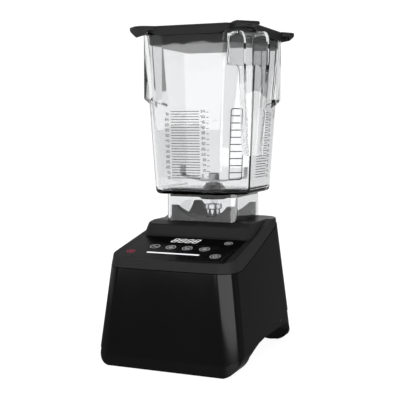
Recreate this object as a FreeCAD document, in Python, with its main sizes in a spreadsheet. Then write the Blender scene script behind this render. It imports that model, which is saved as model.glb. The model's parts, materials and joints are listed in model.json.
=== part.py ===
import FreeCAD, Part
import Sketcher
import math
import os

os.makedirs("parts", exist_ok=True)
doc = FreeCAD.newDocument("blender")
V = FreeCAD.Vector

# Driving dimensions, in mm. Heights are above the table; plan positions are from the drive axis.
VALUES = dict(
    axis_x=-4.65, axis_y=36.05,
    base_half=99.4, side_lean=0.122, base_front=163.8, front_lean=0.07, base_rear=69.6, rear_lean=0.051,
    corner_front=23, corner_rear=31, roll=24, shell_wall=3, pan_inset=0.8,
    deck_top=173.3, deck_lean=0.14, panel_rise=0.222, rim_front=123.5, rim_high=135, rim_y=154.8,
    platform_low=148, platform_front=71.5, platform_half=79.5, platform_top_front=68.5, platform_top_half=70,
    platform_corner=16, platform_slope=45, platform_brow=169.8,
    deck_skin=3.5, panel_thick=1.2, panel_half=73, panel_length=82, lens_thick=0.8,
    seat_half=44.9, seat_top=193.5, valley_low=175.5, valley_rad=46, seat_bore=15,
    skirt_half=49.4, skirt_wall=2.5, jar_floor=209, floor_thick=5, jar_top=420, jar_base_half=62.4,
    jar_lean=0.0545, jar_wall=3.4, jar_corner=14, fifth_leg=30,
    handle_reach=132, handle_top=414.5, handle_grip=16, handle_arm=40, handle_end=262, handle_half=17.5,
    handle_end_half=10.5, handle_wall=3.6, handle_round=17, handle_in_round=13,
    spout_half=74.2, spout_start=319.5, spout_near=36,
    lid_top=427, lid_edge=414.5, lid_half=78.4, lid_wall=2.6, plug_half=68.3, plug_low=403, plug_wall=3.2,
    wing_reach=116, wing_half=20, tab_reach=109, tab_half=15, tab_rise=1,
    blade_level=223.6, blade_thick=2.4, blade_reach=53.5, blade_width=15, blade_rise=5.5, tip_top=244.5,
    blade_angle=-13.2, spindle_rad=5, spline_rad=4.8, spline_low=180, spline_teeth=6,
    housing_rad=13, socket_rad=11.4, socket_low=160, socket_high=193.5,
    shaft_rad=4, shaft_low=40, shaft_high=176, bearing_rad=11, bearing_high=7,
    stator_half=46, stator_low=83, stator_high=123, stator_bore=26.3, core_rad=25.6,
    bracket_low=51, bracket_high=137, commutator_rad=12, commutator_low=62, commutator_high=76,
    fan_rad=35, fan_low=40.2, fan_high=48.6, pan_floor=36, bolt_post=38,
    foot_rad=9, foot_clear=1.2, front_foot_x=62, front_foot_y=-148, rear_foot_x=65, rear_foot_y=57,
    screw_y=12, screw_z=35, screw_seat=92.4, screw_start=82,
    switch_x=52, switch_z=72, grille_z=112, gland_z=60, gland_x=-52, run_gap=0.05, gap=0.3, seam_gap=0.8,
)

sheet = doc.addObject("Spreadsheet::Sheet", "dims")
for row, (alias, number) in enumerate(VALUES.items(), start=1):
    sheet.set(f"A{row}", alias)
    sheet.set(f"B{row}", str(number))
    sheet.setAlias(f"B{row}", alias)
doc.recompute()


class Dim:
    """A length that carries both its sheet expression and its present value."""

    def __init__(self, text, value):
        self.text, self.value = text, value

    def combine(self, sign, other, swap=False):
        other = as_dim(other)
        a, b = (other, self) if swap else (self, other)
        results = {"+": lambda: a.value + b.value, "-": lambda: a.value - b.value,
                   "*": lambda: a.value * b.value, "/": lambda: a.value / b.value}
        return Dim(f"({a.text} {sign} {b.text})", results[sign]())

    def __add__(self, other):
        return self.combine("+", other)

    def __radd__(self, other):
        return self.combine("+", other, True)

    def __sub__(self, other):
        return self.combine("-", other)

    def __rsub__(self, other):
        return self.combine("-", other, True)

    def __mul__(self, other):
        return self.combine("*", other)

    def __rmul__(self, other):
        return self.combine("*", other, True)

    def __truediv__(self, other):
        return self.combine("/", other)

    def __neg__(self):
        return self.combine("*", -1)


def as_dim(x):
    return x if isinstance(x, Dim) else Dim(f"{x:.6g}", float(x))


class Dims:
    pass


d = Dims()
for alias, number in VALUES.items():
    setattr(d, alias, Dim(f"dims.{alias}", float(number)))


def bind(obj, prop, value):
    """Drive a property from the sheet."""
    value = as_dim(value)
    obj.setExpression(prop, value.text)


def new_body(label, z=0, x=0, y=0, turn=0, tilt=0):
    """A sub-part whose own origin is offset from the drive axis, turned about Z or tilted about X."""
    body = doc.addObject("PartDesign::Body", "B_" + label)
    body.Label = label
    body.AllowCompound = True
    x, y, z = d.axis_x + x, d.axis_y + y, as_dim(z)
    turning = FreeCAD.Rotation(V(0, 0, 1), as_dim(turn).value).multiply(FreeCAD.Rotation(V(1, 0, 0), tilt))
    body.Placement = FreeCAD.Placement(V(x.value, y.value, z.value), turning)
    bind(body, "Placement.Base.x", x)
    bind(body, "Placement.Base.y", y)
    bind(body, "Placement.Base.z", z)
    return body


def new_tool(label):
    """A solid that is only used to shape a sub-part; it sits at that sub-part's own origin."""
    body = doc.addObject("PartDesign::Body", "T_" + label)
    body.Label = label + "_tool"
    return body


def new_sketch(body, plane="XY", at=0, spin=0):
    """A sketch on one of the body's own planes, moved along its normal and spun about Z."""
    sk = body.newObject("Sketcher::SketchObject", f"{body.Name}_sketch{len(body.Group)}")
    role = f"{plane}_Plane"
    sk.AttachmentSupport = [(f, "") for f in body.Origin.OriginFeatures if f.Role == role]
    sk.MapMode = "FlatFace"
    upright = V(0, 1, 0) if plane != "XY" else V(0, 0, 1)
    at = as_dim(at)
    sk.AttachmentOffset = FreeCAD.Placement(V(0, 0, at.value), FreeCAD.Rotation(upright, spin))
    bind(sk, "AttachmentOffset.Base.z", at)
    return sk


def pin_point(sk, index, end, x, y):
    for kind, value, axis in (("DistanceX", x, -2), ("DistanceY", y, -1)):
        value = as_dim(value)
        if abs(value.value) < 1e-9:
            sk.addConstraint(Sketcher.Constraint("PointOnObject", index, end, axis))
        else:
            n = sk.addConstraint(Sketcher.Constraint(kind, -1, 1, index, end, value.value))
            sk.setExpression(f"Constraints[{n}]", value.text)


def outline(sk, points):
    """A closed outline through (x, y) points in the sketch's own axes.

    A third value bends the side that starts there to that radius, positive to the left of the way along.
    """
    pts = [(as_dim(p[0]), as_dim(p[1])) for p in points]
    ends = [V(x.value, y.value, 0) for x, y in pts]
    count = len(pts)
    sides = []
    for i in range(count):
        start, end = ends[i], ends[(i + 1) % count]
        if len(points[i]) == 2:
            sides.append((sk.addGeometry(Part.LineSegment(start, end)), 1, 2))
            continue
        radius = as_dim(points[i][2])
        size = abs(radius.value)
        chord = end - start
        across = V(-chord.y, chord.x, 0).normalize()
        hand = 1 if radius.value > 0 else -1
        centre = (start + end) / 2 + across * hand * math.sqrt(size ** 2 - chord.Length ** 2 / 4)
        middle = centre - across * hand * size
        n = sk.addGeometry(Part.Arc(start, middle, end))
        flipped = (sk.getPoint(n, 1) - start).Length > 1e-6
        sides.append((n, 2, 1) if flipped else (n, 1, 2))
        k = sk.addConstraint(Sketcher.Constraint("Radius", n, size))
        sk.setExpression(f"Constraints[{k}]", (radius * hand).text)
    for i in range(count):
        after = sides[(i + 1) % count]
        sk.addConstraint(Sketcher.Constraint("Coincident", sides[i][0], sides[i][2], after[0], after[1]))
        pin_point(sk, sides[i][0], sides[i][1], *pts[i])


def circle(sk, x, y, radius):
    x, y, radius = as_dim(x), as_dim(y), as_dim(radius)
    i = sk.addGeometry(Part.Circle(V(x.value, y.value, 0), V(0, 0, 1), radius.value))
    pin_point(sk, i, 3, x, y)
    n = sk.addConstraint(Sketcher.Constraint("Radius", i, radius.value))
    sk.setExpression(f"Constraints[{n}]", radius.text)


def block(x0, x1, y0, y1):
    return [(x0, y0), (x1, y0), (x1, y1), (x0, y1)]


def pad(body, sk, length, both=False):
    f = body.newObject("PartDesign::Pad", f"{body.Name}_pad{len(body.Group)}")
    f.Profile = sk
    f.Length = as_dim(length).value
    bind(f, "Length", length)
    f.Midplane = both
    doc.recompute()
    return f


def pocket(body, sk, length, both=False, up=False):
    """Cut away a profile: both ways about the sketch, down from it, or up from it."""
    before = body.Tip.Shape.Volume
    f = body.newObject("PartDesign::Pocket", f"{body.Name}_pocket{len(body.Group)}")
    f.Profile = sk
    f.Length = as_dim(length).value
    bind(f, "Length", length)
    f.Midplane = both
    f.Reversed = up
    doc.recompute()
    if f.Shape.isNull() or f.Shape.Volume > before - 1e-3:
        raise ValueError(f"{f.Name} cuts nothing")
    return f


def revolve(body, points, cut=False, spin=0):
    """Turn an outline of (radius, height) points about the body's Z axis."""
    sk = new_sketch(body, "XZ", 0, spin)
    outline(sk, points)
    kind = "Groove" if cut else "Revolution"
    f = body.newObject(f"PartDesign::{kind}", f"{body.Name}_turn{len(body.Group)}")
    f.Profile = sk
    f.ReferenceAxis = (sk, ["V_Axis"])
    f.Angle = 360
    doc.recompute()
    return f


def wedge(body, z0, z1, low, high, cut=False):
    """A leaning block between two plan rectangles (x0, x1, y0, y1) at heights z0 and z1."""
    kind = "Subtractive" if cut else "Additive"
    f = body.newObject(f"PartDesign::{kind}Wedge", f"{body.Name}_wedge{len(body.Group)}")
    f.Placement = FreeCAD.Placement(V(0, 0, 0), FreeCAD.Rotation(V(1, 0, 0), 90))
    (a0, a1, b0, b1), (c0, c1, e0, e1) = low, high
    sizes = dict(Ymin=z0, Ymax=z1, Xmin=a0, Xmax=a1, Zmin=-as_dim(b1), Zmax=-as_dim(b0),
                 X2min=c0, X2max=c1, Z2min=-as_dim(e1), Z2max=-as_dim(e0))
    order = ["Ymax", "Ymin", "Xmax", "Xmin", "Zmax", "Zmin", "X2max", "X2min", "Z2max", "Z2min"]
    for prop in order:
        bind(f, prop, sizes[prop])
    doc.recompute()
    return f


def pick_edges(shape, test):
    return [f"Edge{i}" for i, e in enumerate(shape.Edges, 1) if test(e)]


def fillet(body, size, test, kind="Fillet"):
    """Round or chamfer the edges of the body's tip that pass a test."""
    tip = body.Tip
    edges = pick_edges(tip.Shape, test)
    if not edges:
        raise ValueError(f"{body.Label}: no edge to round")
    f = body.newObject(f"PartDesign::{kind}", f"{body.Name}_{kind.lower()}{len(body.Group)}")
    f.Base = (tip, edges)
    prop = "Radius" if kind == "Fillet" else "Size"
    setattr(f, prop, as_dim(size).value)
    bind(f, prop, size)
    doc.recompute()
    if f.Shape.isNull() or not f.Shape.isValid() or "Invalid" in f.State:
        raise ValueError(f"{body.Label}: rounding of {len(edges)} edges failed")
    return f


def upright(e):
    """True of an edge that mostly runs along Z."""
    a, b = e.Vertexes[0].Point, e.Vertexes[-1].Point
    return abs((b - a).z) > 0.9 * (b - a).Length > 0


def plan_edges(x0, x1, y0, y1, one_side=False):
    """A test for upright edges by the middle's plan position, on both sides of the symmetry plane."""
    def test(e):
        c = e.BoundBox.Center
        x = c.x if one_side else abs(c.x)
        return upright(e) and x0 <= x <= x1 and y0 <= c.y <= y1
    return test


def repeat_round(body, features, count):
    f = body.newObject("PartDesign::PolarPattern", f"{body.Name}_ring{len(body.Group)}")
    f.Originals = features
    f.Axis = ([o for o in body.Origin.OriginFeatures if o.Role == "Z_Axis"][0], [""])
    f.Angle = 360
    f.Occurrences = count
    body.Tip = f
    doc.recompute()
    return f


def combine(body, tool, kind):
    """Cut a tool's whole shape out of a sub-part, or fuse it on."""
    before = body.Tip.Shape.Volume
    f = body.newObject("PartDesign::Boolean", f"{body.Name}_{kind.lower()}{len(body.Group)}")
    f.Type = kind
    f.setObjects([tool])
    doc.recompute()
    if f.Shape.isNull() or abs(f.Shape.Volume - before) < 1e-3:
        raise ValueError(f"{f.Name} changes nothing")
    return f


def base_plan(z, inset=0, lean=None):
    """Plan rectangle of the base's outside at height z."""
    z = as_dim(z)
    half = d.base_half - d.side_lean * z - inset
    return (-half, half, d.front_lean * z - d.base_front + inset, d.base_rear - d.rear_lean * z - inset)


# --- Base envelope, split lines ---
SEAM = [(-200, 13.5), (-163.5, 13.5), (-161.4, 16.6), (-158, 19), (-150, 22.5), (-139, 26.1), (-121, 27.8),
        (-102, 30.7), (-74, 33.1), (-40, 37.3), (4, 41.3), (45, 45.5), (100, 46)]
DECK_SPLIT = [(-200, 124), (-117.5, 124), (-61.5, 137.5), (104.5, 183)]


def rounded_base(body, z0, z1, inset=0):
    wedge(body, z0, z1, base_plan(z0, inset), base_plan(z1, inset))
    fillet(body, d.corner_front - inset, plan_edges(0, 200, -200, 0))
    fillet(body, d.corner_rear - inset, plan_edges(0, 200, 40, 200))


def roll_corners(body, inset=0):
    """Round the two long bottom corners, as seen from the front."""
    side = d.base_half - d.side_lean * d.roll - inset
    radius = d.roll - inset
    inner = side - radius
    for hand in (1, -1):
        sk = new_sketch(body, "XZ")
        outline(sk, [(inner * hand, inset, radius * hand), (side * hand, d.roll),
                     (side * hand + 30 * hand, d.roll), (side * hand + 30 * hand, -10), (inner * hand, -10)])
        pocket(body, sk, 500, both=True)


def side_profile_cut(body, points, width):
    """Cut a side-view profile, its points given as (y, z), centred across the body."""
    sk = new_sketch(body, "YZ")
    outline(sk, points)
    return pocket(body, sk, width, both=True)


def hole(body, plane, at, x, y, radius, length, up=False):
    sk = new_sketch(body, plane, at)
    circle(sk, x, y, radius)
    return pocket(body, sk, length, up=up)


def cylinder(body, x, y, z, radius, height, along="Z"):
    """A round bar added to a sub-part, from the point (x, y, z) along an axis."""
    f = body.newObject("PartDesign::AdditiveCylinder", f"{body.Name}_rod{len(body.Group)}")
    turns = {"X": FreeCAD.Rotation(V(0, 1, 0), 90), "Y": FreeCAD.Rotation(V(1, 0, 0), -90),
             "Z": FreeCAD.Rotation()}
    f.Placement = FreeCAD.Placement(V(as_dim(x).value, as_dim(y).value, as_dim(z).value), turns[along])
    for prop, value in (("Radius", radius), ("Height", height), ("Placement.Base.x", x),
                        ("Placement.Base.y", y), ("Placement.Base.z", z)):
        bind(f, prop, value)
    doc.recompute()
    return f


def box(body, x0, x1, y0, y1, z0, z1, cut=False):
    kind = "PartDesign::SubtractiveBox" if cut else "PartDesign::AdditiveBox"
    f = body.newObject(kind, f"{body.Name}_box{len(body.Group)}")
    for prop, value in (("Length", as_dim(x1) - x0), ("Width", as_dim(y1) - y0), ("Height", as_dim(z1) - z0),
                        ("Placement.Base.x", x0), ("Placement.Base.y", y0), ("Placement.Base.z", z0)):
        bind(f, prop, value)
    doc.recompute()
    return f


def star(sk, radius, grow=0):
    """A toothed star outline for the drive spline and the socket it turns in."""
    points = []
    teeth = int(d.spline_teeth.value)
    for i in range(2 * teeth):
        size = (radius if i % 2 == 0 else radius * 0.78) + grow
        angle = math.pi * i / teeth
        points.append((size * math.cos(angle), size * math.sin(angle)))
    outline(sk, points)


def four(x, y):
    return [(x, y), (-x, y), (-x, -y), (x, -y)]


# --- Housing shell ---
housing = new_body("housing_shell")
rounded_base(housing, 10, 176)
roll_corners(housing)
side_profile_cut(housing, SEAM + [(100, -20), (-200, -20)], 300)
side_profile_cut(housing, [(y, z - d.seam_gap) for y, z in DECK_SPLIT] + [(104.5, 200), (-200, 200)], 300)
inside = new_tool("housing_inside")
rounded_base(inside, 5, 180, d.shell_wall)
combine(housing, inside, "Cut")
sk = new_sketch(housing, "XZ")
outline(sk, block(d.switch_x - 14, d.switch_x + 14, d.switch_z - 10, d.switch_z + 10))
pocket(housing, sk, 100)
sk = new_sketch(housing, "XZ")
outline(sk, block(-40, 40, d.grille_z - 22, d.grille_z + 22))
pocket(housing, sk, 100)
hole(housing, "XZ", 0, d.gland_x, d.gland_z, 7.6, 100)

# --- Chassis pan with arched sides and feet blocks ---
ARCH = [(-133, -5), (-133, 0), (-125, 5), (-122, 10), (-119.5, 18.5), (-104, 23.7), (-83.7, 27.7),
        (-63.4, 29.4), (-30, 30), (24, 30), (38, 27), (45, 18), (47, 8), (47, -5)]
PAN_FLOOR = [(-200, 5.5), (-141, 6), (-130, 14), (-129, 26), (-110, 26), (-84, 31), (-60, 36), (100, 36)]
FEET = [(d.front_foot_x, d.front_foot_y), (-d.front_foot_x, d.front_foot_y),
        (d.rear_foot_x, d.rear_foot_y), (-d.rear_foot_x, d.rear_foot_y)]
pan = new_body("chassis_pan")
rounded_base(pan, 0, 60, d.pan_inset)
roll_corners(pan, d.pan_inset)
side_profile_cut(pan, [(y, z - d.seam_gap) for y, z in SEAM] + [(100, 99), (-200, 99)], 300)
side_profile_cut(pan, [(-200, d.foot_clear), (100, d.foot_clear), (100, -9), (-200, -9)], 300)
side_profile_cut(pan, ARCH, 300)
side_profile_cut(pan, [(40, -5), (90, -5), (90, 24), (40, 24)], 110)
hollow = new_tool("pan_inside")
rounded_base(hollow, 0, 70, d.shell_wall + d.pan_inset)
roll_corners(hollow, d.shell_wall + d.pan_inset)
side_profile_cut(hollow, PAN_FLOOR + [(100, -20), (-200, -20)], 300)
combine(pan, hollow, "Cut")
sk = new_sketch(pan, "XY", d.pan_floor + 1)
outline(sk, block(14, 30, -3, 3))
slot = pocket(pan, sk, 12)
repeat_round(pan, [slot], 10)
for x, y in FEET:
    hole(pan, "XY", d.foot_clear - 1, x, y, d.foot_rad, 3, up=True)
for hand in (1, -1):
    hole(pan, "YZ", d.screw_seat * hand, d.screw_y, d.screw_z, 3.5, 10, up=hand > 0)
    hole(pan, "YZ", d.screw_start * hand, d.screw_y, d.screw_z, 1.6, 20, up=hand > 0)

screws = new_body("chassis_screws")
stem = d.screw_seat - d.screw_start
for stem_at, head_at in ((d.screw_start, d.screw_seat), (-d.screw_seat, -d.screw_seat - 1.2)):
    cylinder(screws, stem_at, d.screw_y, d.screw_z, 1.6, stem, "X")
    cylinder(screws, head_at, d.screw_y, d.screw_z, 3.1, 1.2, "X")

feet = new_body("rubber_feet")
for x, y in FEET:
    cylinder(feet, x, y, 0, d.foot_rad - 0.1, d.foot_clear + 2)
fillet(feet, 0.8, lambda e: e.BoundBox.ZMax < 0.01)

# --- Top deck cover with the slanted control panel and the raised jar platform ---
TILT = math.degrees(math.atan(VALUES["panel_rise"]))
tilt_cos = Dim("cos(atan(dims.panel_rise))", math.cos(math.radians(TILT)))
tilt_sin = Dim("sin(atan(dims.panel_rise))", math.sin(math.radians(TILT)))


def on_panel(up, out):
    """Side-view point, up the control panel from its front rim and out from its surface."""
    return (up * tilt_cos - out * tilt_sin - d.rim_y, up * tilt_sin + out * tilt_cos + d.rim_high)


def deck_plan(z, inset=0):
    z = as_dim(z)
    half = d.base_half - d.side_lean * d.rim_front - (z - d.rim_front) * d.deck_lean - inset
    front = (z - d.rim_front) * d.deck_lean + d.front_lean * d.rim_front - d.base_front + inset
    return (-half, half, front, d.base_rear - d.rear_lean * z - inset)


deck = new_body("deck_cover")
wedge(deck, 110, d.deck_top, deck_plan(110), deck_plan(d.deck_top))
fillet(deck, d.corner_front, plan_edges(0, 200, -200, 0))
fillet(deck, d.corner_rear, plan_edges(0, 200, 40, 200))
side_profile_cut(deck, [on_panel(-60, 0), on_panel(260, 0), (100, 220), (-200, 220)], 300)

platform = new_tool("platform")
foot, front, top, top_front = d.platform_half, d.platform_front, d.platform_top_half, d.platform_top_front
wedge(platform, d.platform_low, d.deck_top, (-foot, foot, -front, 40), (-top, top, -top_front, 40))
fillet(platform, d.platform_corner, lambda e: e.BoundBox.ZLength > 20 and e.BoundBox.Center.y < -50)
side_profile_cut(platform, [(-d.platform_slope, d.deck_top), (-d.platform_top_front, d.platform_brow),
                            (-90, 166), (-90, 190), (-d.platform_slope, 190)], 300)
fillet(platform, 3, lambda e: e.BoundBox.ZMin > 165 and e.BoundBox.XLength < 60 and e.BoundBox.YMin < 0)
combine(deck, platform, "Fuse")
side_profile_cut(deck, DECK_SPLIT + [(104.5, 20), (-200, 20)], 300)
skin = d.deck_skin
side_profile_cut(deck, [on_panel(9, -skin - 1.2), on_panel(150, -skin - 1.2), (14.5, d.deck_top - skin),
                        (52, d.deck_top - skin), (52, 90), (-146, 90)], 140)
side_profile_cut(deck, [(-66, 150), (-64, 166), (-45.5, d.deck_top - skin), (16.5, d.deck_top - skin),
                        (16.5, 140), (-66, 140)], 120)
hole(deck, "XY", 150, 0, 0, d.seat_bore, 40, up=True)
side_profile_cut(deck, [on_panel(5, -d.panel_thick), on_panel(5, 9),
                        on_panel(5 + d.panel_length, 9), on_panel(5 + d.panel_length, -d.panel_thick)],
                 2 * d.panel_half)
side_profile_cut(deck, [on_panel(64, -9), on_panel(64, 2), on_panel(80, 2), on_panel(80, -9)], 56)

# --- Touch panel overlay, display lens and the electronics under them, lying along the slanted panel ---


def panel_body(label, out):
    y, z = on_panel(0, out)
    return new_body(label, z=z, y=y, tilt=TILT)


LENS = [(-64, 86), (-37, 65.5), (-28, 62.6), (38.5, 62.6), (48, 59), (56, 50.5, 9.2), (70.5, 54), (72.4, 66),
        (72.4, 86)]
panel = panel_body("touch_panel", -d.panel_thick)
sk = new_sketch(panel)
outline(sk, block(0.1 - d.panel_half, d.panel_half - 0.1, 5.1, d.panel_length + 4.9))
pad(panel, sk, d.panel_thick)
sk = new_sketch(panel, "XY", d.panel_thick - d.lens_thick)
outline(sk, LENS)
pocket(panel, sk, 5, up=True)
lens = panel_body("display_lens", -d.lens_thick)
sk = new_sketch(lens)
outline(sk, LENS)
pad(lens, sk, d.lens_thick)

board = panel_body("control_board", -16)
sk = new_sketch(board)
outline(sk, block(-62, 62, 16, 82))
pad(board, sk, 1.6)
for x in (-40, -20, 0, 20):
    box(board, x - 5, x + 5, 24, 34, 1.6, 3.2)
spacers = panel_body("board_spacers", -14.4)
for x, y in ((56, 20), (-56, 20), (56, 78), (-56, 78)):
    cylinder(spacers, x, y, 0, 3, 14.4 - 1.2 - skin)
display = panel_body("display_module", -14.4)
box(display, -27.5, 27.5, 64.5, 79.5, 0, 14.4 - d.panel_thick)

# --- Jar seat with four corner posts ---
seat = new_body("jar_seat", z=d.deck_top)
sk = new_sketch(seat)
outline(sk, block(-d.seat_half, d.seat_half, -d.seat_half, d.seat_half))
pad(seat, sk, d.seat_top - d.deck_top)
fillet(seat, 6, upright)
valley = d.valley_low + d.valley_rad - d.deck_top
for plane in ("XZ", "YZ"):
    sk = new_sketch(seat, plane)
    circle(sk, 0, valley, d.valley_rad)
    pocket(seat, sk, 200, both=True)
fillet(seat, 2, lambda e: e.BoundBox.ZMin > d.seat_top.value - d.deck_top.value - 0.01 and e.Length < 40
       and (e.BoundBox.XLength < 0.01 or e.BoundBox.YLength < 0.01)
       and max(abs(e.BoundBox.Center.x), abs(e.BoundBox.Center.y)) < 42)
hole(seat, "XY", 0, 0, 0, d.seat_bore, 40, up=True)

# --- Electronics in the front of the base ---
power = new_body("power_board", z=d.pan_floor + 6, y=-104)
sk = new_sketch(power)
outline(sk, block(-52, 52, -30, 24))
pad(power, sk, 1.6)
for x in (46, -46):
    cylinder(power, x, -21, -16, 3, 16)
    cylinder(power, x, 15, -11, 3, 11)
capacitor = new_body("filter_capacitor", z=d.pan_floor + 7.6, x=-26, y=-112)
cylinder(capacitor, 0, 0, 0, 11, 32)
fillet(capacitor, 1.5, lambda e: e.BoundBox.ZMin > 31)
choke = new_body("choke_coil", z=d.pan_floor + 7.6, x=6, y=-112)
revolve(choke, [(5, 0), (14, 0), (14, 11), (5, 11)])
fillet(choke, 2.5, lambda e: len(e.Vertexes) == 1)
sink = new_body("heat_sink", z=d.pan_floor + 7.6, x=36, y=-106)
box(sink, -10, 10, -14, 14, 0, 3)
for i in range(5):
    box(sink, 4.6 * i - 10, 4.6 * i - 8.4, -14, 14, 3, 30)

# --- Motor, standing on rubber mounts in the pan ---
mounts = new_body("motor_mounts", z=d.pan_floor)
for x, y in four(d.bolt_post, d.bolt_post):
    cylinder(mounts, x, y, 0, 6.5, d.bracket_low - d.pan_floor)
low_bracket = new_body("lower_bracket", z=d.bracket_low)
sk = new_sketch(low_bracket)
outline(sk, block(-d.stator_half, d.stator_half, -d.stator_half, d.stator_half))
pad(low_bracket, sk, 9)
fillet(low_bracket, 10, upright)
for x, y in four(d.bolt_post, d.bolt_post):
    cylinder(low_bracket, x, y, 8, 6, d.stator_low - d.bracket_low - 8)
for hand in (1, -1):
    sk = new_sketch(low_bracket, "XY", 3.5)
    outline(sk, [(x, y * hand) for x, y in [(-30, 17), (30, 17), (22, 40), (-22, 40)]])
    pocket(low_bracket, sk, 20, up=True)
    hole(low_bracket, "XY", 9, 0, 28 * hand, 9, 20)
hole(low_bracket, "XY", 2, 0, 0, d.bearing_rad, 20, up=True)
hole(low_bracket, "XY", 9, 0, 0, 6, 20)
for x, y in four(d.bolt_post, d.bolt_post):
    hole(low_bracket, "XY", 40, x, y, 2.1, 60)

high_bracket = new_body("upper_bracket", z=d.stator_high)
rise = d.bracket_high - d.stator_high
sk = new_sketch(high_bracket, "XY", rise)
outline(sk, block(-d.stator_half, d.stator_half, -d.stator_half, d.stator_half))
pad(high_bracket, sk, 9)
fillet(high_bracket, 10, upright)
for x, y in four(d.bolt_post, d.bolt_post):
    cylinder(high_bracket, x, y, 0, 6, rise + 1)
for hand in (1, -1):
    sk = new_sketch(high_bracket, "XY", rise + 3)
    outline(sk, [(x, y * hand) for x, y in [(-30, 17), (30, 17), (22, 40), (-22, 40)]])
    pocket(high_bracket, sk, 20, up=True)
    hole(high_bracket, "XY", rise + 9, 0, 28 * hand, 9, 20)
hole(high_bracket, "XY", rise + 7, 0, 0, d.bearing_rad, 20)
hole(high_bracket, "XY", rise + 20, 0, 0, 6, 40)
for x, y in four(d.bolt_post, d.bolt_post):
    hole(high_bracket, "XY", 40, x, y, 2.1, 60)

for label, z in (("lower_bearing", d.bracket_low + 2), ("upper_bearing", d.bracket_high)):
    ring = new_body(label, z=z)
    inner, outer, tall = d.shaft_rad + d.run_gap, d.bearing_rad, d.bearing_high
    revolve(ring, [(inner, 0), (outer, 0), (outer, tall), (inner, tall)])
    for face in (0, 1):
        edge, depth = (0, 0.8) if face == 0 else (tall - 0.8, tall)
        revolve(ring, [(6.3, edge), (9, edge), (9, depth), (6.3, depth)], cut=True)

bolts = new_body("motor_bolts", z=d.bracket_low)
for x, y in four(d.bolt_post, d.bolt_post):
    cylinder(bolts, x, y, 0, 2.0, d.bracket_high + 9 - d.bracket_low)
    cylinder(bolts, x, y, d.bracket_high + 9 - d.bracket_low, 3.5, 3)

stator = new_body("stator_core", z=d.stator_low)
tall = d.stator_high - d.stator_low
sk = new_sketch(stator)
outline(sk, block(-d.stator_half, d.stator_half, -d.stator_half, d.stator_half))
pad(stator, sk, tall)
fillet(stator, 10, upright)
hole(stator, "XY", 0, 0, 0, d.stator_bore, 100, up=True)
for x, y in four(d.bolt_post, d.bolt_post):
    hole(stator, "XY", 0, x, y, 2.1, 100, up=True)
WINDOWS = [(24, 12), (36, 12), (36, 24), (24, 24)]
for a, b in four(1, 1):
    sk = new_sketch(stator)
    outline(sk, [(x * a, y * b) for x, y in WINDOWS])
    pocket(stator, sk, 100, up=True)

coils = new_body("field_coils", z=d.stator_low)
for a, b in four(1, 1):
    sk = new_sketch(coils, "XY", -7)
    outline(sk, [(x * a, y * b) for x, y in block(27, 35, 13, 23)])
    pad(coils, sk, tall + 14)
for a in (1, -1):
    for low, high in ((-7, -1), (tall + 1, tall + 7)):
        sk = new_sketch(coils, "XY", low)
        outline(sk, [(x * a, y) for x, y in block(27.5, 35, -14, 14)])
        pad(coils, sk, high - low)

holders = new_body("brush_holders", z=d.commutator_low + 1)
brushes = new_body("carbon_brushes", z=d.commutator_low + 1)
tip = d.commutator_rad + 0.3
for inner, outer, brush_in, brush_out in ((14, 33, tip, 30), (-33, -14, -30, -tip)):
    box(holders, inner, outer, -5.5, 5.5, 0, 11)
    box(brushes, brush_in, brush_out, -3, 3, 2.5, 8.5)
for inner, outer in ((14, 33), (-33, -14)):
    box(holders, inner - 1, outer + 1, -3.05, 3.05, 2.45, 8.55, cut=True)
    box(holders, inner + 2, outer - 1, -4, 4, -3, 0)

shroud = new_body("fan_shroud", z=d.pan_floor)
revolve(shroud, [(d.fan_rad + 1.5, 0), (d.fan_rad + 4, 0), (d.fan_rad + 4, 13), (d.fan_rad + 1.5, 13)])

# --- Rotor ---
shaft = new_body("motor_shaft", z=d.shaft_low)
cylinder(shaft, 0, 0, 0, d.shaft_rad, d.shaft_high - d.shaft_low)
fillet(shaft, 0.6, lambda e: len(e.Vertexes) == 1, "Chamfer")
core = new_body("rotor_core", z=d.stator_low)
revolve(core, [(d.shaft_rad, 0), (d.core_rad, 0), (d.core_rad, tall), (d.shaft_rad, tall)])
sk = new_sketch(core)
outline(sk, block(17, 30, -1.1, 1.1))
slot = pocket(core, sk, 100, up=True)
repeat_round(core, [slot], 12)
winding = new_body("rotor_winding", z=d.stator_low)
for low, high in ((-7, 0), (tall, tall + 7)):
    revolve(winding, [(d.shaft_rad + 2, low), (22, low), (22, high), (d.shaft_rad + 2, high)])
fillet(winding, 2.5, lambda e: len(e.Vertexes) == 1 and e.BoundBox.XLength > 40
       and not -1 < e.BoundBox.ZMin < 41)
ring = new_body("commutator", z=d.commutator_low)
size, long = d.commutator_rad, d.commutator_high - d.commutator_low
revolve(ring, [(d.shaft_rad, 0), (size, 0), (size, long), (d.shaft_rad, long)])
sk = new_sketch(ring, "XY", 1)
outline(sk, block(10.8, 14, -0.35, 0.35))
slot = pocket(ring, sk, 30, up=True)
repeat_round(ring, [slot], 24)
fan = new_body("cooling_fan", z=d.fan_low)
fan_tall = d.fan_high - d.fan_low
revolve(fan, [(d.shaft_rad, 0), (d.fan_rad, 0), (d.fan_rad, 1.4), (10, 1.4), (10, fan_tall),
              (d.shaft_rad, fan_tall)])
blades = []
for i in range(9):
    sk = new_sketch(fan, "XY", 1, 40 * i)
    outline(sk, [(9, -0.8), (20, 1.4), (33.5, 7), (33, 8.6), (19.5, 3), (9, 0.8)])
    blades.append(pad(fan, sk, fan_tall - 1))
socket = new_body("drive_socket", z=d.socket_low)
long = d.socket_high - d.socket_low
deep = long - 17
revolve(socket, [(d.shaft_rad, 0), (8, 0), (9, 10), (9, long - 8), (d.socket_rad, long - 6.5),
                 (d.socket_rad, long - 1), (d.socket_rad - 1, long), (0, long),
                 (0, d.shaft_high - d.socket_low), (d.shaft_rad, d.shaft_high - d.socket_low)])

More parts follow.
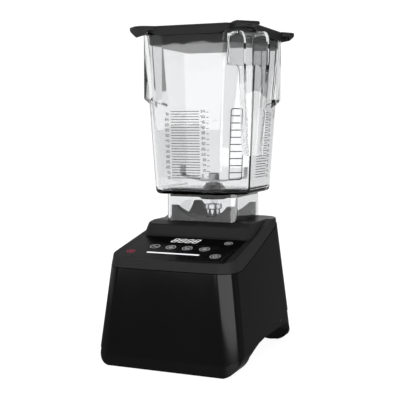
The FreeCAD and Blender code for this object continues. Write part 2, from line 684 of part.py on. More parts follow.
sk = new_sketch(socket, "XY", long)
star(sk, d.spline_rad + 1.2, d.gap)
pocket(socket, sk, deep)
sk = new_sketch(socket, "XY", long)
outline(sk, block(10.4, 14, -0.7, 0.7))
slot = pocket(socket, sk, 7)
repeat_round(socket, [slot], 18)

# --- Rear wall fittings ---
REAR_TILT = math.degrees(math.atan(VALUES["rear_lean"]))


def rear_body(label, x, z):
    """A sub-part whose XZ plane lies on the leaning rear wall, facing outward along +Y."""
    return new_body(label, z=z, x=x, y=d.base_rear - d.rear_lean * z, tilt=REAR_TILT)


grille = rear_body("rear_grille", 0, d.grille_z)
box(grille, -43, 43, 0, 1.6, -25, 25)
box(grille, -39.6, 39.6, -3, 0, -21.6, 21.6)
for i in range(7):
    box(grille, -36, 36, -4, 3, 5.6 * i - 18.2, 5.6 * i - 15.4, cut=True)

frame = rear_body("switch_frame", d.switch_x, d.switch_z)
box(frame, -16, 16, 0, 1.6, -12, 12)
box(frame, -13.7, 13.7, -14, 0, -9.7, 9.7)
box(frame, -11.5, 11.5, -12, 3, -7.5, 7.5, cut=True)
rocker = rear_body("power_rocker", d.switch_x, d.switch_z)
sk = new_sketch(rocker, "YZ")
outline(sk, [(-6, -2.2, -5.924), (-6, 2.2), (-0.4, 5.8), (3.6, 6.0), (1.4, 0.6), (0.6, -6.4), (-1.4, -6.2)])
pad(rocker, sk, 22.4, both=True)

gland = new_body("cord_gland", z=d.gland_z, x=d.gland_x, y=d.base_rear - d.rear_lean * d.gland_z)
cylinder(gland, 0, -4.4, 0, 10, 0.7, "Y")
cylinder(gland, 0, -9, 0, 7.4, 9.6, "Y")
cylinder(gland, 0, 0.6, 0, 9.5, 2, "Y")
cylinder(gland, 0, 2.4, 0, 6, 8, "Y")
hole(gland, "XZ", 30, 0, 0, 3.9, 60)

# --- Jar: vessel, skirt and handle in one clear moulding ---


def jar_plan(z, inset=0):
    half = (as_dim(z) - d.jar_floor) * d.jar_lean + d.jar_base_half - inset
    return (-half, half, -half, half)


def jar_corners(body, radius, leg, soft):
    """Round three corners, cut the front-right one to a flat fifth side and soften that side's edges."""
    fillet(body, radius, plan_edges(-90, -55, -90, 90, one_side=True))
    fillet(body, radius, plan_edges(55, 90, 55, 90, one_side=True))
    fillet(body, leg, plan_edges(55, 90, -90, -55, one_side=True), "Chamfer")
    fillet(body, soft, plan_edges(20, 90, -90, -20, one_side=True))


jar = new_body("jar_body")
wedge(jar, d.jar_floor, d.jar_top, jar_plan(d.jar_floor), jar_plan(d.jar_top))
jar_corners(jar, d.jar_corner, d.fifth_leg, 6)
fillet(jar, 6, lambda e: e.BoundBox.ZMax < d.jar_floor.value + 0.01)

DIAGONAL = -45
high, low = d.handle_top, d.handle_end
reach, grip = d.handle_reach, d.handle_grip
arm_low = high - d.handle_arm
handle = new_tool("handle")
sk = new_sketch(handle, "XZ", 0, DIAGONAL)
bend, inner_bend = d.handle_round, d.handle_in_round
outline(sk, [(60, arm_low), (60, high), (reach - bend, high, -bend), (reach, high - bend), (reach - 4, low),
             (reach - 4 - grip, low), (reach - grip, arm_low - inner_bend, inner_bend),
             (reach - grip - inner_bend, arm_low)])
pad(handle, sk, 2 * d.handle_half, both=True)
for hand in (1, -1):
    sk = new_sketch(handle, "YZ", 0, DIAGONAL)
    outline(sk, [(d.handle_half * hand, arm_low + 5), (d.handle_end_half * hand, low - 1),
                 (60 * hand, low - 1), (60 * hand, arm_low + 5)])
    pocket(handle, sk, 200, up=True)
combine(jar, handle, "Fuse")

# The handle is a channel: the arm is open below and the grip is open towards the jar.
thick = d.handle_wall
channel = new_tool("handle_channel")
sk = new_sketch(channel, "XZ", 0, DIAGONAL)
outline(sk, [(88, arm_low - 1), (88, high - thick), (reach - bend, high - thick, thick - bend),
             (reach - thick, high - bend), (reach - thick - 4, low - 3), (reach - grip - 8, low - 3),
             (reach - grip - 8, arm_low - 1)])
pad(channel, sk, 2 * (d.handle_half - thick), both=True)
for hand in (1, -1):
    sk = new_sketch(channel, "YZ", 0, DIAGONAL)
    outline(sk, [((d.handle_half - thick) * hand, arm_low + 5), ((d.handle_end_half - thick) * hand, low - 4),
                 (60 * hand, low - 4), (60 * hand, arm_low + 5)])
    pocket(channel, sk, 200, up=True)
combine(jar, channel, "Cut")

# Pouring spout flutes on the front-left and rear-right corners, tapering into the walls below.
for hand in (1, -1):
    spout = new_tool(f"spout_{'right' if hand > 0 else 'left'}")
    side0, side1 = (d.spout_near, d.spout_half) if hand > 0 else (-d.spout_half, -d.spout_near)
    box(spout, side0, side1, side0, side1, d.spout_start, d.jar_top)
    outer = (70, 80, 70, 80) if hand > 0 else (-80, -70, -80, -70)
    fillet(spout, d.jar_corner, plan_edges(*outer, one_side=True))
    sk = new_sketch(spout, "XZ", 0, 45)
    low = d.spout_start - 9
    outline(sk, [(0, low), (140 * hand, low), (140 * hand, low + 45), (0, low - 25)])
    pocket(spout, sk, 200, both=True)
    for side in (1, -1):
        sk = new_sketch(spout, "YZ", 0, 45)
        outline(sk, [(22 * side, 300), (60 * side, 300), (60 * side, 440), (22 * side, 440)])
        pocket(spout, sk, 300, both=True)
    combine(jar, spout, "Fuse")

cavity = new_tool("jar_cavity")
wall, leg = d.jar_wall, d.fifth_leg - d.jar_wall * 0.586
bottom = d.jar_floor + d.floor_thick
wedge(cavity, bottom, d.jar_top + 5, jar_plan(bottom, wall), jar_plan(d.jar_top + 5, wall))
jar_corners(cavity, d.jar_corner - wall, leg, 4)
fillet(cavity, 5, lambda e: e.BoundBox.ZMax < bottom.value + 0.01)
combine(jar, cavity, "Cut")

skirt = new_tool("skirt")
size = d.skirt_half
box(skirt, -size, size, -size, size, d.deck_top, d.jar_floor + 1)
fillet(skirt, 8, upright)
skirt_in = new_tool("skirt_inside")
size = d.skirt_half - d.skirt_wall
box(skirt_in, -size, size, -size, size, d.deck_top - 1, d.jar_floor)
fillet(skirt_in, 5.5, upright)
combine(skirt, skirt_in, "Cut")
combine(jar, skirt, "Fuse")
hole(jar, "XY", 200, 0, 0, d.housing_rad, 30, up=True)

# --- Jar fittings ---
gasket = new_body("base_gasket", z=d.jar_floor - 3.6)
side = d.skirt_half - d.skirt_wall - 0.6
box(gasket, -side, side, -side, side, 0, 3.6)
fillet(gasket, 5, upright)
hole(gasket, "XY", 0, 0, 0, d.housing_rad, 10, up=True)
bearing = new_body("bearing_housing", z=200)
size, bore = d.housing_rad - 0.05, d.spindle_rad + 2.4
above = d.jar_floor + d.floor_thick - 200
revolve(bearing, [(bore, 0), (size, 0), (size, above), (15.5, above), (15.5, above + 1.6), (11.6, above + 5),
                  (10.2, above + 8), (bore, above + 8)])
nut = new_body("flange_nut", z=d.jar_floor - 9)
revolve(nut, [(d.housing_rad, 0), (17, 0), (21.5, 3.4), (21.5, 5.4), (d.housing_rad, 5.4)])
seal = new_body("shaft_seal", z=203)
inner = d.spindle_rad + d.run_gap
revolve(seal, [(inner, 0), (bore, 0), (bore, above + 4), (inner, above + 4)])

# --- Blade and its spindle ---
spindle = new_body("blade_spindle", z=d.spline_low + 22, turn=d.blade_angle)
cylinder(spindle, 0, 0, 0, d.spindle_rad, d.blade_level - d.spline_low - 22)
cylinder(spindle, 0, 0, d.blade_level - d.spline_low - 22.5, 3, 12.5)
spline = new_body("drive_spline", z=d.spline_low, turn=0)
sk = new_sketch(spline)
star(sk, d.spline_rad + 1.2)
pad(spline, sk, 20)
cylinder(spline, 0, 0, 20, 4.2, 2)

blade = new_body("blade", z=d.blade_level, turn=d.blade_angle)
reach, thick = d.blade_reach, d.blade_thick
tip = d.tip_top - d.blade_level
sk = new_sketch(blade, "XZ")
right = [(13, 0), (reach - 3, d.blade_rise), (reach, d.blade_rise + 3), (reach, tip), (reach - thick, tip),
         (reach - thick, d.blade_rise + 4), (reach - 4, d.blade_rise + thick), (13, thick)]
left = [(-1 * as_dim(x), y) for x, y in reversed(right)]
outline(sk, right + left)
pad(blade, sk, d.blade_width, both=True)
for hand in (1, -1):
    for side in (1, -1):
        sk = new_sketch(blade, "XY", -1)
        edge = 7.5 * side * hand
        outline(sk, [(16 * hand, edge * 1.2), (60 * hand, edge * 1.2), (60 * hand, 4.4 * side * hand)])
        pocket(blade, sk, 40, up=True)
hole(blade, "XY", -1, 0, 0, 3.1, 10, up=True)
cap = new_body("hex_nut", z=d.blade_level + d.blade_thick + 1, turn=d.blade_angle)
sk = new_sketch(cap)
outline(sk, [(7.5 * math.cos(math.pi * i / 3), 7.5 * math.sin(math.pi * i / 3)) for i in range(6)])
pad(cap, sk, 8.5)
fillet(cap, 1, lambda e: e.BoundBox.ZMin > 8.4, "Chamfer")
hole(cap, "XY", -1, 0, 0, 3, 12, up=True)
washer = new_body("blade_washer", z=d.blade_level + d.blade_thick)
revolve(washer, [(3.1, 0), (8.5, 0), (8.5, 1), (3.1, 1)])

# --- Lid ---
lid = new_body("lid")


def lid_square(body, z0, z1, half, radius, leg, cut=False):
    """A plan square with three round corners and one flat one over the jar's fifth side."""
    box(body, -half, half, -half, half, z0, z1)
    for x0, x1, y0, y1 in ((-90, -50, -90, 90), (50, 90, 50, 90)):
        fillet(body, radius, plan_edges(x0, x1, y0, y1, one_side=True))
    fillet(body, leg, plan_edges(50, 90, -90, -50, one_side=True), "Chamfer")
    fillet(body, 5, plan_edges(20, 90, -90, -20, one_side=True))


top, low = d.lid_top, d.lid_edge
lid_square(lid, low, top, d.lid_half, 17, 31)
fillet(lid, 3, lambda e: e.BoundBox.ZMin > top.value - 0.01)
recess = new_tool("lid_recess")
lid_square(recess, 390, d.jar_top + 0.4, d.lid_half - d.lid_wall, 14.5, 30)
combine(lid, recess, "Cut")

# The rim's lower edge rises over each corner, and furthest over the handle.
for turn, flat, wide, rise in ((0, 7, 22, 7.5), (1, 7, 22, 7.5), (2, 7, 22, 7.5), (3, 13, 28, 9)):
    corner = new_tool(f"lid_corner{turn}")
    sk = new_sketch(corner, "YZ", 0, 45 + 90 * turn)
    outline(sk, [(-wide - 9, low - 4), (wide + 9, low - 4), (wide, low), (flat, low + rise),
                 (-flat, low + rise), (-wide, low)])
    pad(corner, sk, 150)
    sk = new_sketch(corner, "XZ", 0, 45 + 90 * turn)
    outline(sk, block(-10, 80, 400, 440))
    pocket(corner, sk, 200, both=True)
    combine(lid, corner, "Cut")

plug = new_tool("lid_plug")
lid_square(plug, d.plug_low, d.jar_top + 1, d.plug_half, 11, 26)
fillet(plug, 3, lambda e: e.BoundBox.ZMax < d.plug_low.value + 0.01)
combine(lid, plug, "Fuse")
dish = new_tool("lid_dish")
lid_square(dish, d.plug_low + d.plug_wall, 460, d.plug_half - d.plug_wall, 8, 25)
fillet(dish, 3, lambda e: e.BoundBox.ZMax < d.plug_low.value + d.plug_wall.value + 0.01)
combine(lid, dish, "Cut")
tip = d.wing_reach
for turn in (0, 2):
    wing = new_tool(f"lid_wing{turn}")
    sk = new_sketch(wing, "XZ", 0, 45 + 90 * turn)
    outline(sk, [(92, top - 6), (103, top - 6), (103.6, top - 12), (tip, top - 3.2), (tip, top - 1),
                 (92, top - 0.4)])
    pad(wing, sk, 2 * d.wing_half, both=True)
    fillet(wing, 13, lambda e: upright(e) and math.hypot(e.BoundBox.Center.x, e.BoundBox.Center.y) > 117)
    combine(lid, wing, "Fuse")
tab = new_tool("lid_tab")
sk = new_sketch(tab, "XZ", 0, DIAGONAL)
reach, high = d.tab_reach, top + d.tab_rise
outline(sk, [(80, d.jar_top + 1), (reach - 10, d.jar_top + 2.4), (reach - 1, top - 3), (reach, top - 1.6),
             (reach - 3, high), (reach - 14, high), (80, top - 0.6)])
pad(tab, sk, 2 * d.tab_half, both=True)
combine(lid, tab, "Fuse")

# --- Write one file per sub-part ---
doc.recompute()
for item in doc.Objects:
    if "Invalid" in item.State or "Error" in item.State:
        raise ValueError(f"{item.Label} is {item.State}")
for item in doc.Objects:
    if item.TypeId != "PartDesign::Body" or item.Label.endswith("_tool"):
        continue
    if item.Shape.isNull() or not item.Shape.isValid() or not item.Shape.Solids:
        raise ValueError(f"{item.Label} has no valid solid")
    item.Shape.exportStep(f"parts/{item.Label}.step")
    print(item.Label, len(item.Shape.Solids), round(item.Shape.Volume))
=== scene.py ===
"""Looks of the countertop blender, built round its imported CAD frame."""
import json
import math

import bmesh
import bpy
from mathutils import Matrix, Vector


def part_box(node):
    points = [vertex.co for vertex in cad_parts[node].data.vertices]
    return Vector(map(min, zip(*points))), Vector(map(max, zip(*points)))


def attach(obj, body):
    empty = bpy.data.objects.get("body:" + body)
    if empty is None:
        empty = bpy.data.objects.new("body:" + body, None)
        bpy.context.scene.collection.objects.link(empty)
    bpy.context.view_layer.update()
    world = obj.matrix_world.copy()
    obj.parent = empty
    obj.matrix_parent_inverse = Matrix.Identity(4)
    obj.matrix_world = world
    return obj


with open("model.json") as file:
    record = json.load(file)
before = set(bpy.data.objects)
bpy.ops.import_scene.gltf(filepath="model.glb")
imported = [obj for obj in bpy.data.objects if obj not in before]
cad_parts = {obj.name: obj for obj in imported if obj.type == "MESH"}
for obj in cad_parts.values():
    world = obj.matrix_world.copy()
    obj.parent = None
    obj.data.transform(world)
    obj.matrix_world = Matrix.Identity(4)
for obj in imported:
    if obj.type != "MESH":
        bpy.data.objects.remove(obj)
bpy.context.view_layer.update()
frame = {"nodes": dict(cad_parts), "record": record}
scene = bpy.context.scene
MM = 0.001

# The drive axis, in metres, is read from the motor shaft's own box.
low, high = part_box("motor_shaft")
AXIS = Vector(((low.x + high.x) / 2, (low.y + high.y) / 2, 0))

# Sizes shared with the CAD model, in millimetres from the drive axis. A lean or rise is a slope.
PANEL_FRONT, PANEL_FRONT_HIGH, PANEL_RISE = -154.8, 135, 0.222
JAR_FLOOR, JAR_HALF, JAR_LEAN = 209, 62.4, 0.0545
FIFTH_LEG = 30
REAR_FOOT, REAR_LEAN = 69.6, 0.051
SCREW_REACH, SCREW_BACK, SCREW_HIGH = 93.6, 12, 35


# --- Materials ---

def node_tree(name):
    mat = bpy.data.materials.new(name)
    mat.use_nodes = True
    tree = mat.node_tree
    return mat, tree, tree.nodes["Principled BSDF"]


def link(tree, source, out, target, into):
    tree.links.new(source.outputs[out], target.inputs[into])


def noise(tree, scale, detail=3.0, stretch=(1, 1, 1)):
    """Noise in the object's own coordinates, so that it travels with a moving piece."""
    where = tree.nodes.new("ShaderNodeTexCoord")
    mapping = tree.nodes.new("ShaderNodeMapping")
    mapping.inputs["Scale"].default_value = stretch
    texture = tree.nodes.new("ShaderNodeTexNoise")
    texture.inputs["Scale"].default_value = scale
    texture.inputs["Detail"].default_value = detail
    link(tree, where, "Object", mapping, "Vector")
    link(tree, mapping, "Vector", texture, "Vector")
    return texture


def ranged(tree, source, low_value, high_value):
    """Spread the middle of a noise or wave pattern over a range of values."""
    spread = tree.nodes.new("ShaderNodeMapRange")
    spread.inputs["From Min"].default_value = 0.3
    spread.inputs["From Max"].default_value = 0.7
    spread.inputs["To Min"].default_value = low_value
    spread.inputs["To Max"].default_value = high_value
    link(tree, source, "Fac", spread, "Value")
    return spread


def add_bump(tree, shader, source, depth):
    """Raise the surface by a pattern, to a depth in metres."""
    bump = tree.nodes.new("ShaderNodeBump")
    bump.inputs["Distance"].default_value = depth
    bump.inputs["Strength"].default_value = 0.6
    link(tree, source, "Fac", bump, "Height")
    link(tree, bump, "Normal", shader, "Normal")


def two_tone(tree, shader, source, dark, light):
    mix = tree.nodes.new("ShaderNodeMix")
    mix.data_type = "RGBA"
    mix.inputs["A"].default_value = (*dark, 1)
    mix.inputs["B"].default_value = (*light, 1)
    link(tree, source, "Fac", mix, "Factor")
    link(tree, mix, "Result", shader, "Base Color")


def shade(color, factor):
    return tuple(min(1, channel * factor) for channel in color)


def rough(tree, shader, source, low_value, high_value):
    link(tree, ranged(tree, source, low_value, high_value), "Result", shader, "Roughness")


def plastic(name, color, roughness, grain=0.00004, grain_scale=2600, specular=0.5, mottle=0.12):
    """Moulded plastic: a fine mould grain, and gloss that drifts slightly over the surface."""
    mat, tree, shader = node_tree(name)
    cloud = noise(tree, 22, 4)
    two_tone(tree, shader, cloud, shade(color, 1 - mottle), shade(color, 1 + mottle))
    rough(tree, shader, cloud, roughness * 0.9, roughness * 1.12)
    add_bump(tree, shader, noise(tree, grain_scale, 2), grain)
    shader.inputs["Specular IOR Level"].default_value = specular
    return mat


def metal(name, color, roughness, stretch=(1, 1, 1), scale=900, depth=0.00002, spread=0.35):
    """Bare or plated metal; a stretched noise gives brushed or turned lines."""
    mat, tree, shader = node_tree(name)
    lines = noise(tree, scale, 5, stretch)
    two_tone(tree, shader, lines, shade(color, 0.86), shade(color, 1.08))
    rough(tree, shader, lines, roughness * (1 - spread), roughness * (1 + spread))
    add_bump(tree, shader, lines, depth)
    shader.inputs["Metallic"].default_value = 1.0
    return mat


# A wave texture of scale 1 repeats after 0.314 of a unit.
WAVE_REPEAT = 0.314


def banded(name, color, pitch, metallic, roughness):
    """Stacked sheets or wound wire: fine even bands."""
    mat, tree, shader = node_tree(name)
    where = tree.nodes.new("ShaderNodeTexCoord")
    wave = tree.nodes.new("ShaderNodeTexWave")
    wave.bands_direction = "Z"
    wave.inputs["Scale"].default_value = WAVE_REPEAT / pitch
    wave.inputs["Distortion"].default_value = 0.4
    link(tree, where, "Object", wave, "Vector")
    two_tone(tree, shader, wave, shade(color, 0.6), shade(color, 1.15))
    rough(tree, shader, noise(tree, 60), roughness * 0.8, roughness * 1.2)
    add_bump(tree, shader, wave, 0.0003)
    shader.inputs["Metallic"].default_value = metallic
    return mat


def clear_plastic(name):
    """Clear copolyester: sharp, with the faint waviness of a thick moulding."""
    mat, tree, shader = node_tree(name)
    shader.inputs["Base Color"].default_value = (0.88, 0.885, 0.89, 1)
    shader.inputs["Transmission Weight"].default_value = 1.0
    shader.inputs["IOR"].default_value = 1.5
    rough(tree, shader, noise(tree, 40), 0.004, 0.03)
    add_bump(tree, shader, noise(tree, 35, 1), 0.0004)
    return mat


def print_ink(name, color, roughness=0.5, glow=0.0):
    """Printed ink; a lit mark also glows."""
    mat, tree, shader = node_tree(name)
    speckle = noise(tree, 1500, 2)
    two_tone(tree, shader, speckle, shade(color, 0.92), shade(color, 1.05))
    rough(tree, shader, speckle, roughness * 0.9, roughness * 1.1)
    shader.inputs["Specular IOR Level"].default_value = 0.2
    shader.inputs["Emission Color"].default_value = (*color, 1)
    shader.inputs["Emission Strength"].default_value = glow
    return mat


BLACK = (0.0016, 0.0016, 0.0017)
MATERIALS = {
    "black_gloss": plastic("black_gloss", BLACK, 0.13, grain=0.000003, specular=0.15),
    "black_satin": plastic("black_satin", (0.019, 0.019, 0.0193), 0.36, grain=0.00003, specular=0.05),
    "panel_black": plastic("panel_black", (0.003, 0.003, 0.0033), 0.26, grain=0.00001, specular=0.08),
    "lens_black": plastic("lens_black", (0.0006, 0.0006, 0.0007), 0.12, grain=0.0, specular=0.1),
    "clear_plastic": clear_plastic("clear_plastic"),
    "lid_rubber": plastic("lid_rubber", (0.011, 0.011, 0.0113), 0.45, grain=0.00006, grain_scale=1800,
                          specular=0.25),
    "black_rubber": plastic("black_rubber", (0.012, 0.012, 0.012), 0.7, grain=0.00008, grain_scale=1400),
    "blade_steel": metal("blade_steel", (0.55, 0.55, 0.56), 0.26, (1, 30, 30), 160),
    "chrome": metal("chrome", (0.86, 0.86, 0.88), 0.07, spread=0.2, depth=0.000005),
    "plated_steel": metal("plated_steel", (0.56, 0.56, 0.57), 0.22, (1, 1, 24), 120),
    "cast_aluminium": metal("cast_aluminium", (0.6, 0.6, 0.61), 0.5, scale=500, depth=0.00008),
    "lamination_steel": banded("lamination_steel", (0.3, 0.3, 0.32), 0.0008, 1.0, 0.45),
    "copper": banded("copper", (0.62, 0.27, 0.12), 0.001, 0.9, 0.35),
    "carbon": plastic("carbon", (0.03, 0.03, 0.03), 0.6),
    "board_green": plastic("board_green", (0.02, 0.13, 0.05), 0.3, mottle=0.3),
    "nylon": plastic("nylon", (0.7, 0.69, 0.64), 0.45),
    "dark_blue_sleeve": plastic("dark_blue_sleeve", (0.02, 0.035, 0.14), 0.25),
}
# Two nodes look different from the others in their slot.
OWN_LOOK = {
    "jar_seat": plastic("seat_grey", (0.1, 0.1, 0.103), 0.5, grain=0.00005),
    "chassis_pan": plastic("pan_black", BLACK, 0.24, grain=0.00001, specular=0.14),
}
WHITE_INK = print_ink("white_ink", (0.85, 0.85, 0.86), glow=0.7)
KEY_INK = print_ink("key_ink", (0.5, 0.5, 0.51), glow=0.5)
DIM_INK = print_ink("dim_ink", (0.03, 0.03, 0.032))
RED_INK = print_ink("red_ink", (0.3, 0.03, 0.06), glow=0.3)
JAR_INK = print_ink("jar_ink", (0.05, 0.052, 0.054), 0.7)

for part in frame["record"]["subparts"]:
    node = frame["nodes"][part["node"]]
    look = OWN_LOOK.get(part["node"], MATERIALS[part["material_slot"]])
    node.data.materials.clear()
    node.data.materials.append(look)


# --- Printed marks ---

def surface(origin, across, up):
    """Placement of a flat surface, from a point on it in millimetres and its two directions."""
    across = Vector(across).normalized()
    up = Vector(up).normalized()
    turn = Matrix((across, up, across.cross(up))).transposed()
    return Matrix.Translation(AXIS + Vector(origin) * MM) @ turn.to_4x4()


# Gap between a mark and its surface, in millimetres.
LIFT = 0.02


def print_on(name, loops, place, material, body="base", thick=0.05):
    """Thin printed marks, lifted off a surface: outlines in millimetres, across it and up it."""
    shape = bmesh.new()
    for loop in loops:
        shape.faces.new([shape.verts.new((x * MM, y * MM, LIFT * MM)) for x, y in loop])
    raised = bmesh.ops.extrude_face_region(shape, geom=shape.faces[:])["geom"]
    moved = [v for v in raised if isinstance(v, bmesh.types.BMVert)]
    bmesh.ops.translate(shape, verts=moved, vec=(0, 0, thick * MM))
    bmesh.ops.recalc_face_normals(shape, faces=shape.faces[:])
    shape.transform(place)
    mesh = bpy.data.meshes.new(name)
    shape.to_mesh(mesh)
    shape.free()
    obj = bpy.data.objects.new(name, mesh)
    scene.collection.objects.link(obj)
    mesh.materials.append(material)
    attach(obj, body)


def arc(x, y, radius, start=0, stop=360, steps=36):
    turns = [math.radians(start + (stop - start) * i / steps) for i in range(steps + 1)]
    return [(x + radius * math.cos(turn), y + radius * math.sin(turn)) for turn in turns]


def stroke(points, width):
    """One quad along each piece of an open or closed line, half a width longer at both ends."""
    quads = []
    for (x0, y0), (x1, y1) in zip(points, points[1:]):
        size = math.hypot(x1 - x0, y1 - y0)
        ex, ey = (x1 - x0) / size * width / 2, (y1 - y0) / size * width / 2
        quads.append([(x0 - ex + ey, y0 - ey - ex), (x1 + ex + ey, y1 + ey - ex),
                      (x1 + ex - ey, y1 + ey + ex), (x0 - ex - ey, y0 - ey + ex)])
    return quads


def ring(x, y, inner, outer, start=0, stop=360, steps=36):
    near, far = arc(x, y, inner, start, stop, steps), arc(x, y, outer, start, stop, steps)
    return [[near[i], far[i], far[i + 1], near[i + 1]] for i in range(steps)]


def disc(x, y, radius):
    return arc(x, y, radius, steps=24)[:-1]


def round_box(x0, x1, y0, y1, radius):
    """Outline of a box with rounded corners."""
    loop = []
    for x, y, start in ((x1 - radius, y1 - radius, 0), (x0 + radius, y1 - radius, 90),
                        (x0 + radius, y0 + radius, 180), (x1 - radius, y0 + radius, 270)):
        loop += arc(x, y, radius, start, start + 90, 6)
    return loop


SEGMENTS = {
    "0": "abcdef",
    "1": "bc",
    "2": "abged",
    "3": "abgcd",
    "4": "fgbc",
    "5": "afgcd",
    "6": "afgedc",
    "7": "abc",
    "8": "abcdefg",
    "9": "abcdfg",
}


def digits(text, x, y, tall, wide, pitch, width, slant=0.0):
    """Seven-stroke numerals, from their lower left corner."""
    half = tall / 2
    ends = {
        "a": ((0, tall), (wide, tall)),
        "b": ((wide, half), (wide, tall)),
        "c": ((wide, 0), (wide, half)),
        "d": ((0, 0), (wide, 0)),
        "e": ((0, 0), (0, half)),
        "f": ((0, half), (0, tall)),
        "g": ((0, half), (wide, half)),
    }
    quads = []
    for place, sign in enumerate(text):
        for segment in SEGMENTS[sign]:
            (x0, y0), (x1, y1) = ends[segment]
            gap_x, gap_y = (x1 - x0) * 0.1, (y1 - y0) * 0.1
            line = [(x0 + gap_x, y0 + gap_y), (x1 - gap_x, y1 - gap_y)]
            quads += stroke([(x + place * pitch + u + v * slant, y + v) for u, v in line], width)
    return quads


# Touch panel: round keys with plain motifs, a white slider bar, and the display's numerals.
PANEL = surface((0, PANEL_FRONT, PANEL_FRONT_HIGH), (1, 0, 0), (0, 1, PANEL_RISE))
KEY_INNER, KEY_OUTER = 5.9, 6.6


def key(x, y, motif, size=1.0):
    """A round key: its rim and the motif inside it."""
    shapes = ring(0, 0, KEY_INNER, KEY_OUTER) + motif
    return [[(x + u * size, y + v * size) for u, v in shape] for shape in shapes]


def fan(count, inner, outer, width):
    """Even rays about the middle of a key."""
    lines = []
    for i in range(count):
        turn = math.radians(90 + 360 * i / count)
        reach = math.cos(turn), math.sin(turn)
        lines += stroke([(span * reach[0], span * reach[1]) for span in (inner, outer)], width)
    return lines


wave = stroke([(-3.6 + i * 0.8, 1.5 * math.sin(i * 0.75)) for i in range(10)], 0.9)
sun = ring(0, 0, 1.1, 2.0) + fan(6, 2.8, 4.0, 0.8)
cup = stroke([(-2.6, 3), (-1.8, -2.8), (1.8, -2.8), (2.6, 3)], 0.8) + stroke([(-2.4, 0.6), (2.4, 0.6)], 0.7)
snow = fan(6, 0.2, 3.8, 0.8)
power = ring(0, -0.3, 2.2, 3.1, 125, 415, 24) + stroke([(0, 0.6), (0, 3.8)], 0.9)
play = stroke([(-2.4, -2.6), (-2.4, 2.6)], 1.1) + [[(0, -2.6), (3.4, 0), (0, 2.6)]]
KEYS = (
    (-38, 49.2, wave),
    (-15.8, 49.0, sun),
    (7, 48.7, cup),
    (30.5, 48.7, snow),
    (53.3, 26.6, power),
)
icons = []
for x, y, motif in KEYS:
    icons += key(x, y, motif)
print_on("key_icons", icons, PANEL, KEY_INK)
print_on("display_key", key(53.2, 73.4, play, 0.8), PANEL, KEY_INK)
print_on("pulse_icon", ring(-61.7, 27.5, 4.4, 5.6) + [disc(-61.7, 27.5, 2.6)], PANEL, RED_INK)
print_on("speed_slider", [round_box(-39.5, 32, 25.7, 29.3, 1.7)], PANEL, WHITE_INK)
outline = stroke(arc(60, 14, 6, -90, -10, 8) + [(66, 40)], 0.5) + stroke([(-66, 8), (60, 8)], 0.5)
print_on("panel_outline", outline, PANEL, DIM_INK)
print_on("display_digits", digits("8888", -24.4, 68, 12.2, 5.6, 9.7, 1.15, 0.24), PANEL, WHITE_INK)

# Jar graduations: a wide scale on the front face and a narrow one on the right face.
JAR_PRINT_THICK = 0.1
LINES, FIRST_LINE, LINE_PITCH, LINE_WIDTH = 26, 22, 3.46, 0.85
RISES = [FIRST_LINE + i * LINE_PITCH for i in range(LINES)]


def scale_number(value, x, rise):
    """A small number beside a line of the scale."""
    return digits(str(value), x, rise - 1.6, 3.2, 1.9, 3.1, 0.55)


front = surface((0, -JAR_HALF, JAR_FLOOR), (1, 0, 0), (0, -JAR_LEAN, 1))
marks = []
for i, rise in enumerate(RISES):
    marks += stroke([(-33.2, rise), (6, rise)], LINE_WIDTH)
    if i % 2:
        marks += scale_number(4 + i * 2, 9, rise)
        marks += stroke([(16.4, rise - 1.2), (19.5, rise - 1.2)], 0.7)
    else:
        marks += scale_number(10 + i * 5 // 2, -41.5, rise)
print_on("front_scale", marks, front, JAR_INK, "jar", JAR_PRINT_THICK)

right = surface((JAR_HALF, 0, JAR_FLOOR), (0, 1, 0), (JAR_LEAN, 0, 1))
marks = []
for i, rise in enumerate(RISES):
    marks += stroke([(-11 if i < 9 else 2, rise), (29, rise)], LINE_WIDTH)
    if i % 2 == 0:
        marks += scale_number(10 + i * 5 // 2, 33, rise)
print_on("side_scale", marks, right, JAR_INK, "jar", JAR_PRINT_THICK)

# A plain ladder on the jar's corner face.
LADDER_FOOT, LADDER_TOP, LADDER_WIDTH, RUNGS = 20.5, 112, 1.2, 9
corner_reach = (2 * JAR_HALF - FIFTH_LEG) / 2
corner = surface((corner_reach, -corner_reach, JAR_FLOOR), (1, 1, 0), (JAR_LEAN, -JAR_LEAN, 1))
rails = round_box(-8.6, 9.4, LADDER_FOOT, LADDER_TOP, 3.6)
marks = stroke(rails + rails[:1], LADDER_WIDTH)
for i in range(1, RUNGS + 1):
    rise = LADDER_FOOT + (LADDER_TOP - LADDER_FOOT) * i / (RUNGS + 1)
    marks += stroke([(-7.4, rise), (8.2, rise)], LADDER_WIDTH)
print_on("corner_motif", marks, corner, JAR_INK, "jar", JAR_PRINT_THICK)

# Cross slots of the side screws, and a plain plate with ruled lines on the back.
cross = stroke([(-1.9, 0), (1.9, 0)], 0.7) + stroke([(0, -1.9), (0, 1.9)], 0.7)
for side, label in ((1, "right"), (-1, "left")):
    head = surface((SCREW_REACH * side, SCREW_BACK, SCREW_HIGH), (0, side, 0), (0, 0, 1))
    print_on(f"screw_slot_{label}", cross, head, MATERIALS["carbon"], thick=0.02)

PLATE_HIGH, PLATE_THICK = 66, 0.3
plate = surface((0, REAR_FOOT - REAR_LEAN * PLATE_HIGH, PLATE_HIGH), (-1, 0, 0), (0, -REAR_LEAN, 1))
plate_face = plate @ Matrix.Translation((0, 0, (PLATE_THICK + LIFT) * MM))
blank = [round_box(-26, 26, -12, 12, 2)]
print_on("rating_plate", blank, plate, MATERIALS["cast_aluminium"], thick=PLATE_THICK)
lines = []
for i in range(5):
    lines += stroke([(-22, 7.5 - i * 3.6), (20 - 5 * (i % 3), 7.5 - i * 3.6)], 0.8)
print_on("plate_lines", lines, plate_face, DIM_INK)


# --- Camera, light and floor ---

def aim(obj, target):
    obj.rotation_euler = (target - obj.location).to_track_quat("-Z", "Y").to_euler()


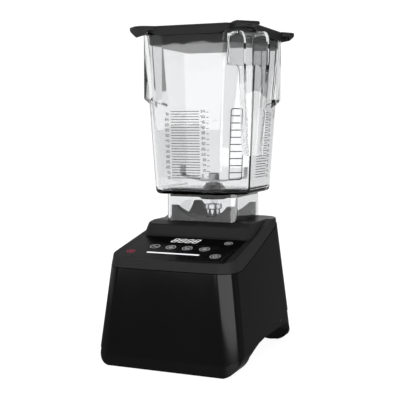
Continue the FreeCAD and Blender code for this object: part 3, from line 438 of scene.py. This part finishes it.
camera = bpy.data.objects.new("camera", bpy.data.cameras.new("camera"))
scene.collection.objects.link(camera)
camera.data.lens = 77.256
camera.data.shift_x = 0.0005
camera.data.shift_y = 0.0015
camera.location = AXIS + Vector((435.75, -1086.6, 295.3)) * MM
aim(camera, AXIS + Vector((-14.4, -15.8, 197.8)) * MM)
scene.camera = camera


def softbox(name, place, target, size, power):
    """A rectangular lamp that is seen neither by the camera nor through the clear jar."""
    light = bpy.data.objects.new(name, bpy.data.lights.new(name, "AREA"))
    light.data.shape = "RECTANGLE"
    light.data.size, light.data.size_y = size
    light.data.energy = power
    light.location = place
    light.visible_camera = False
    light.visible_transmission = False
    aim(light, Vector(target))
    scene.collection.objects.link(light)


softbox("light_top", (-0.1, -0.5, 2.0), (0, 0, 0.2), (1.6, 1.6), 9)
softbox("light_right", (0.8, -0.81, 0.17), (0.09, -0.1, 0.13), (1.9, 0.3), 10.5)
softbox("light_left", (-1.3, 0.0, 0.4), (0, 0, 0.3), (1.4, 0.8), 1.8)
softbox("light_front", (-0.8, -1.9, 0.25), (0, -0.1, 0.12), (1.5, 0.3), 6)


# Brightness of the studio against the direction towards its white wall, from -1 (away from it) to 1.
WALL_WAY = (-0.38, 0.92, 0.05)
WALL_LEVELS = ((0.1, 0.34), (0.45, 0.16), (0.8, 0.13), (0.9, 0.35), (0.955, 1.0))


def studio_world():
    """A white wall on the far side of the object, in a grey room."""
    world = bpy.data.worlds.new("studio")
    world.use_nodes = True
    scene.world = world
    tree = world.node_tree
    where = tree.nodes.new("ShaderNodeTexCoord")
    toward = tree.nodes.new("ShaderNodeVectorMath")
    toward.operation = "DOT_PRODUCT"
    toward.inputs[1].default_value = WALL_WAY
    ramp = tree.nodes.new("ShaderNodeValToRGB")
    for place, level in WALL_LEVELS:
        step = ramp.color_ramp.elements.new(place)
        step.color = (level, level, level, 1)
    ramp.color_ramp.elements.remove(ramp.color_ramp.elements[0])
    link(tree, where, "Generated", toward, 0)
    link(tree, toward, "Value", ramp, "Fac")
    background = tree.nodes["Background"]
    background.inputs["Strength"].default_value = 1.05
    link(tree, ramp, "Color", background, "Color")


def floor_paint():
    """Pale matte paint that glows, so that the floor meets the white wall without a line."""
    mat, tree, shader = node_tree("floor_paint")
    two_tone(tree, shader, noise(tree, 30), (0.42, 0.42, 0.42), (0.45, 0.45, 0.45))
    shader.inputs["Roughness"].default_value = 0.9
    shader.inputs["Specular IOR Level"].default_value = 0.1
    shader.inputs["Emission Color"].default_value = (1, 1, 1, 1)
    shader.inputs["Emission Strength"].default_value = 0.9
    return mat


def studio_floor():
    """A wide round floor. Gloss doesn't mirror it, so the black base stays black."""
    mesh = bpy.data.meshes.new("floor")
    shape = bmesh.new()
    bmesh.ops.create_circle(shape, cap_ends=True, segments=96, radius=14)
    shape.to_mesh(mesh)
    shape.free()
    mesh.materials.append(floor_paint())
    floor = bpy.data.objects.new("floor", mesh)
    floor.visible_glossy = False
    scene.collection.objects.link(floor)
    return floor


studio_world()
floor = studio_floor()

scene.view_settings.view_transform = "Standard"
